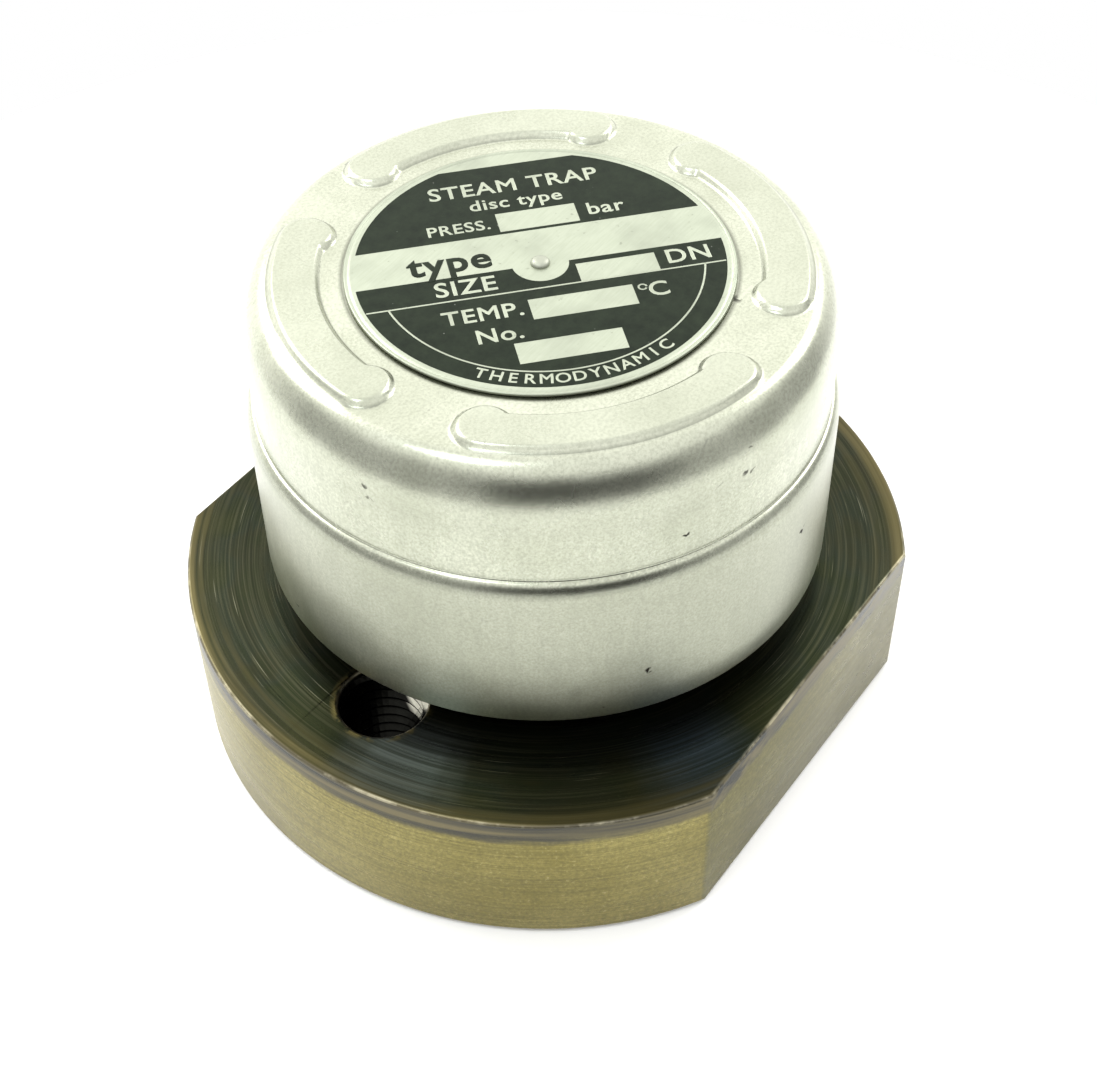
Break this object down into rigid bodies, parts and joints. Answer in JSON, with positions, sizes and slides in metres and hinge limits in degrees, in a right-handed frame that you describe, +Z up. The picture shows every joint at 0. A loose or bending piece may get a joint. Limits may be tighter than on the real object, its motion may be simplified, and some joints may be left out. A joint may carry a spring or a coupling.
{
  "type": "steam trap",
  "caption": "Disc steam trap module: round two-bolt swivel flange with flats, ported joint face, screwed inner cover and a lift-off air-jacket cap with arc pads and a round plate.",
  "frame": {"origin": "centre of the body's joint face, which is the lowest face", "axes": "+Z up along the trap's axis, +X along the line of the two tapped bolt holes, parallel to the flange's flats; the flats face +Y and -Y"},
  "size_m": [0.085, 0.0734, 0.061],
  "materials": {
    "flange_steel": "turned, heat-tinted stainless steel",
    "body_steel": "turned stainless steel",
    "gasket": "graphite sheet, matte",
    "screen_steel": "perforated sheet",
    "plain_steel": "turned",
    "seat_steel": "lapped",
    "bimetal": "rolled strip",
    "disc_steel": "lapped",
    "cover_steel": "turned",
    "spring_steel": "drawn wire",
    "cap_alloy": "spun, satin, worn",
    "plate_alloy": "printed black on satin metal",
    "rivet_alloy": "satin"
  },
  "bodies": {
    "trap_body": {"trap_body": "body_steel", "inlet_sleeve": "body_steel", "flange_snap_ring": "spring_steel", "connector_gasket_inner": "gasket", "connector_gasket_outer": "gasket", "inlet_screen": "screen_steel", "screen_ring": "plain_steel", "seat_gasket_inner": "gasket", "seat_gasket_outer": "gasket", "valve_seat": "seat_steel", "cover_gasket": "gasket", "inner_cover": "cover_steel", "cap_support_ring": "plain_steel", "support_snap_ring": "spring_steel", "cap_grip_ring": "spring_steel"},
    "vent_ring": {"air_vent_ring": "bimetal"},
    "disc": {"valve_disc": "disc_steel"},
    "cap": {"outer_cap": "cap_alloy", "nameplate": "plate_alloy", "nameplate_rivet": "rivet_alloy"},
    "flange": {"swivel_flange": "flange_steel"}
  },
  "joints": [
    {"name": "flange_swivel", "type": "hinge", "parent": "trap_body", "child": "flange", "pos_m": [0, 0, 0.01], "axis": [0, 0, 1], "continuous": true},
    {"name": "vent_ring_lift", "type": "slide", "parent": "trap_body", "child": "vent_ring", "axis": [0, 0, 1], "range_m": [0, 0.0008]},
    {"name": "disc_lift", "type": "slide", "parent": "vent_ring", "child": "disc", "axis": [0, 0, 1], "range_m": [0, 0.0009]},
    {"name": "cap_lift_off", "type": "slide", "parent": "trap_body", "child": "cap", "axis": [0, 0, 1], "range_m": [0, 0.04]}
  ]
}
